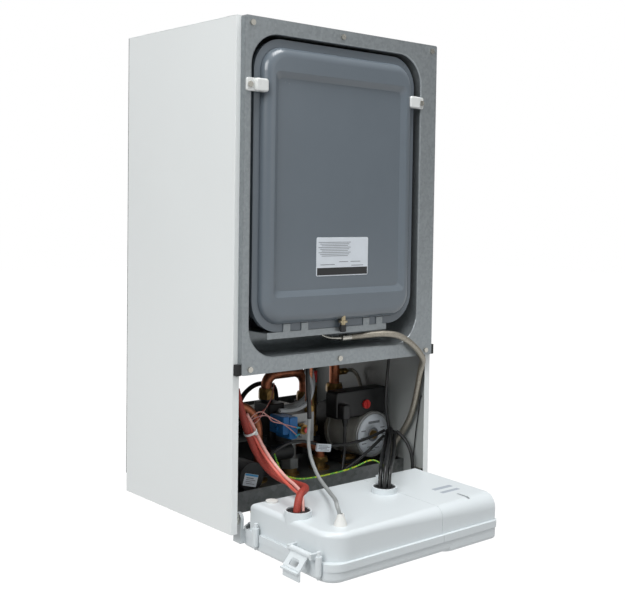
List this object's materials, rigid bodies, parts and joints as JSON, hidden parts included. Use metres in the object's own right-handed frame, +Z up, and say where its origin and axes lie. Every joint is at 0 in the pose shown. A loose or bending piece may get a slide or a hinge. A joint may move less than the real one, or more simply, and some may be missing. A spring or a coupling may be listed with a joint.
{
  "type": "wall-hung gas boiler",
  "caption": "Wall-hung gas boiler, casing front off: flat expansion vessel in a dished panel over an open bay with pump, gas valve and pipes; control box hinged down on its cables.",
  "frame": {"origin": "on the wall plane, midway between the two wall hook holes", "axes": "+X to the right as seen from the front, +Y towards the wall, +Z up"},
  "size_m": [0.4, 0.4945, 0.8072],
  "materials": {
    "white_steel": "satin",
    "galvanised": "satin",
    "grey_steel": "satin",
    "plated_steel": "satin",
    "black_foam": "matte",
    "grey_vessel": "satin",
    "white_plastic": "satin",
    "dark_plastic": "satin",
    "blue_plastic": "satin",
    "red_plastic": "satin",
    "grey_rubber": "matte",
    "black_rubber": "matte",
    "brass": "satin",
    "copper": "satin",
    "cast_aluminium": "satin",
    "pump_grey": "satin",
    "braid": "satin",
    "red_cable": "satin",
    "black_cable": "satin",
    "grey_cable": "satin",
    "earth_cable": "satin",
    "green_board": "satin",
    "clear_lens": "gloss"
  },
  "bodies": {
    "chassis": {"back_frame": "grey_steel", "left_side_panel": "white_steel", "right_side_panel": "white_steel", "top_panel": "white_steel", "bottom_tray": "grey_steel", "bottom_nipples": "brass", "vessel_panel": "galvanised", "edge_seals": "black_foam", "panel_screws": "plated_steel", "vessel_clips": "white_plastic", "vessel_front_shell": "grey_vessel", "vessel_rear_shell": "grey_vessel", "vessel_diaphragm": "black_rubber", "vessel_clamp_band": "grey_vessel", "vessel_charging_valve": "brass", "vessel_valve_cap": "dark_plastic", "vessel_support_bracket": "galvanised", "vessel_hose_fitting": "plated_steel", "vessel_hose": "braid", "heat_exchanger_body": "cast_aluminium", "burner": "cast_aluminium", "fan_housing": "cast_aluminium", "condensate_trap": "dark_plastic", "flue_duct": "white_steel", "flue_socket": "white_steel", "copper_pipes": "copper", "pipe_nuts": "brass", "flow_manifold": "dark_plastic", "diverter_motor": "dark_plastic", "gas_valve_body": "cast_aluminium", "gas_valve_coils": "blue_plastic", "gas_regulator": "brass", "return_manifold": "dark_plastic", "pump_motor": "pump_grey", "pump_vent_screw": "brass", "pump_terminal_box": "dark_plastic", "pump_plug": "dark_plastic", "relief_valve": "brass", "plate_heat_exchanger": "plated_steel", "hinge_brackets": "plated_steel", "red_harness": "red_cable", "black_harness": "black_cable", "sensor_cable": "grey_cable", "earth_wire": "earth_cable", "bay_cables": "black_cable", "condensate_hose": "grey_rubber"},
    "control_box": {"fascia_shell": "white_plastic", "rear_cover": "white_plastic", "connection_cover": "white_plastic", "cable_grommets": "black_rubber", "circuit_board": "green_board", "display_lens": "clear_lens"},
    "control_latch": {"control_latch": "white_plastic"},
    "heating_knob": {"heating_knob": "white_plastic"},
    "water_knob": {"water_knob": "white_plastic"},
    "pump_speed_knob": {"pump_speed_knob": "red_plastic"},
    "relief_valve_knob": {"relief_valve_knob": "red_plastic"},
    "pump_impeller": {"pump_impeller": "dark_plastic"},
    "fan_impeller": {"fan_impeller": "dark_plastic"},
    "diverter_spindle": {"diverter_spindle": "plated_steel"}
  },
  "joints": [
    {"name": "control_box_hinge", "type": "hinge", "parent": "chassis", "child": "control_box", "pos_m": [0, -0.287, -0.684], "axis": [-1, 0, 0], "range_deg": [0, 91.6], "deforming": ["red_harness", "black_harness", "sensor_cable", "earth_wire"]},
    {"name": "control_latch_hinge", "type": "hinge", "parent": "control_box", "child": "control_latch", "pos_m": [-0.1755, -0.43877, -0.69424], "axis": [0, -0.9996, -0.0279], "range_deg": [0, 34]},
    {"name": "heating_knob_turn", "type": "hinge", "parent": "control_box", "child": "heating_knob", "pos_m": [-0.112, -0.38579, -0.72878], "axis": [0, 0.0279, -0.9996], "range_deg": [0, 270]},
    {"name": "water_knob_turn", "type": "hinge", "parent": "control_box", "child": "water_knob", "pos_m": [-0.066, -0.38579, -0.72878], "axis": [0, 0.0279, -0.9996], "range_deg": [0, 270]},
    {"name": "pump_speed_turn", "type": "hinge", "parent": "chassis", "child": "pump_speed_knob", "pos_m": [0.135, -0.223, -0.561], "axis": [0, 1, 0], "range_deg": [0, 120]},
    {"name": "relief_valve_turn", "type": "hinge", "parent": "chassis", "child": "relief_valve_knob", "pos_m": [0.093, -0.123, -0.522], "axis": [0, 0, 1], "range_deg": [0, 90]},
    {"name": "pump_impeller_spin", "type": "hinge", "parent": "chassis", "child": "pump_impeller", "pos_m": [0.15, -0.122, -0.615], "axis": [0, 1, 0], "continuous": true},
    {"name": "fan_impeller_spin", "type": "hinge", "parent": "chassis", "child": "fan_impeller", "pos_m": [-0.04, -0.221, -0.398], "axis": [0, 1, 0], "continuous": true},
    {"name": "diverter_spindle_slide", "type": "slide", "parent": "chassis", "child": "diverter_spindle", "axis": [0, 1, 0], "range_m": [0, 0.008]}
  ]
}
